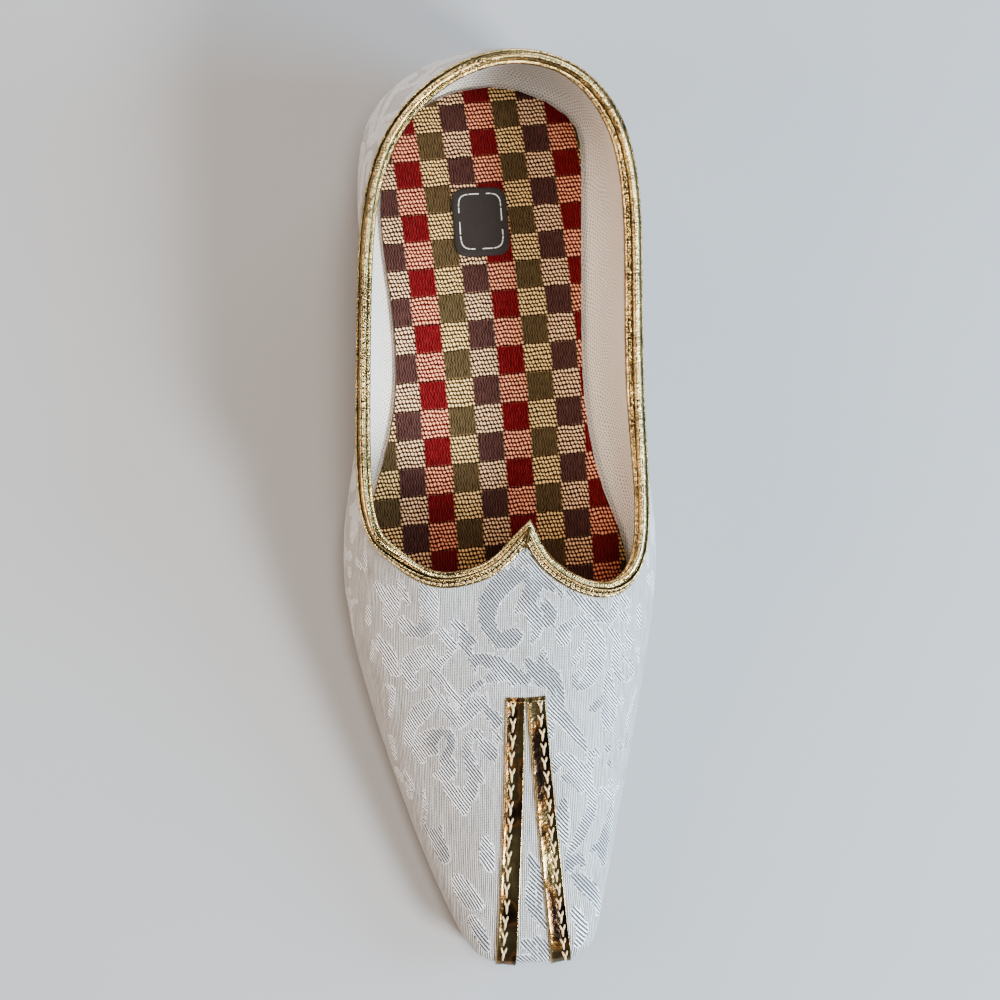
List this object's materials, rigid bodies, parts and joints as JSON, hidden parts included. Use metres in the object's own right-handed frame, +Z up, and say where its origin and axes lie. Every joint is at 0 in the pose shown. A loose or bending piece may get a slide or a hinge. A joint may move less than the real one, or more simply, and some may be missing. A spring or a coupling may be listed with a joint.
{
  "type": "mojari shoe",
  "caption": "Slip-on brocade shoe with a snub pointed toe, gold-piped heart-shaped throat, gold toe strips, woven insole, thin leather sole and low heel.",
  "frame": {"origin": "on the floor under the middle of the shoe's bounding box", "axes": "+Z up, +Y from the toe to the heel, +X to the medial side of this right shoe"},
  "size_m": [0.089, 0.2612, 0.0631],
  "materials": {
    "sole_leather": "smooth tan sole leather with a burnished edge",
    "heel_leather": "stacked tan leather",
    "insole_weave": "coarse check weave in red, olive and brown with cream",
    "brocade": "silvery white damask brocade with a satin sheen",
    "gold_piping": "metallic gold leatherette, rolled and stitched",
    "gold_strip": "mirror-gloss metallic gold leatherette"
  },
  "bodies": {
    "root": {"outsole": "sole_leather", "heel_lift": "heel_leather", "insole": "insole_weave", "upper": "brocade", "collar_piping": "gold_piping", "toe_strip_lateral": "gold_strip", "toe_strip_medial": "gold_strip"}
  },
  "joints": []
}
